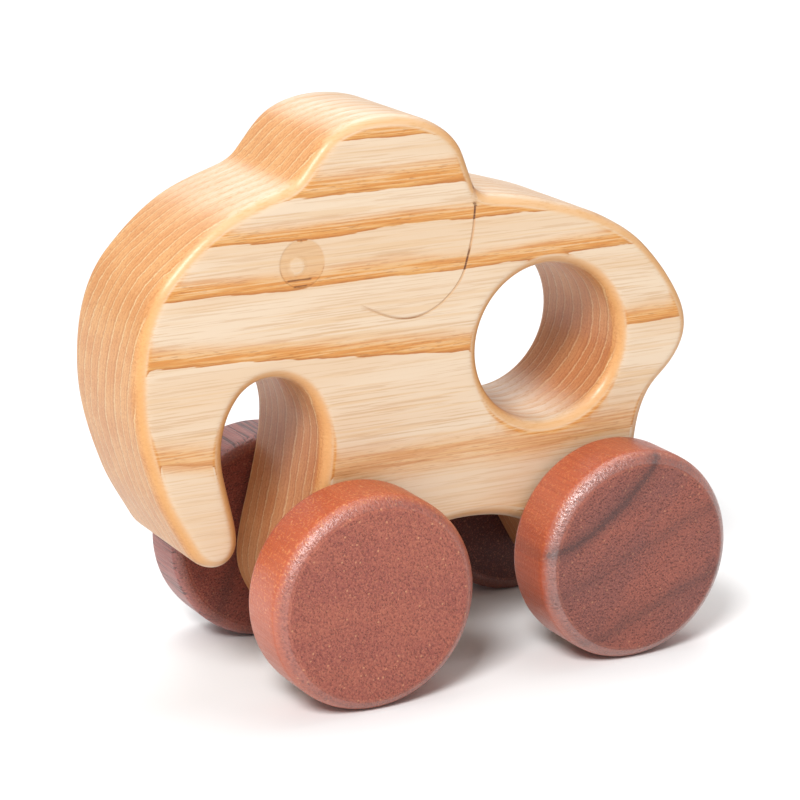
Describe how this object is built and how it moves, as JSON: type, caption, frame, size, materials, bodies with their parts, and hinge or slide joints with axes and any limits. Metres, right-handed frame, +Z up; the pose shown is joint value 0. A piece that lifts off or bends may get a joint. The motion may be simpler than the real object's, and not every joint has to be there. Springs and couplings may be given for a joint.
{
  "type": "push-along toy elephant",
  "caption": "Flat rounded wooden elephant with a round grip hole in its rump, an arched trunk and solid wooden wheels on turning dowel axles.",
  "frame": {"origin": "on the floor, under the middle of the bounding box", "axes": "+Z up, the elephant faces -X, its left side is -Y and the axles run along Y"},
  "size_m": [0.1132, 0.057, 0.1042],
  "materials": {
    "ash": "oiled ash, satin, with an orange-tan porous band in each growth ring of the pale wood",
    "padauk": "oiled padauk, red-brown end grain on the faces, long grain on the rims",
    "beech_dowel": "plain sanded beech dowel"
  },
  "bodies": {
    "elephant": {"elephant_body": "ash"},
    "front_wheel_set": {"front_axle": "beech_dowel", "front_left_wheel": "padauk", "front_right_wheel": "padauk"},
    "rear_wheel_set": {"rear_axle": "beech_dowel", "rear_left_wheel": "padauk", "rear_right_wheel": "padauk"}
  },
  "joints": [
    {"name": "front_axle_spin", "type": "hinge", "parent": "elephant", "child": "front_wheel_set", "pos_m": [-0.0174, 0, 0.02], "axis": [0, -1, 0], "continuous": true},
    {"name": "rear_axle_spin", "type": "hinge", "parent": "elephant", "child": "rear_wheel_set", "pos_m": [0.0366, 0, 0.02], "axis": [0, -1, 0], "continuous": true}
  ]
}
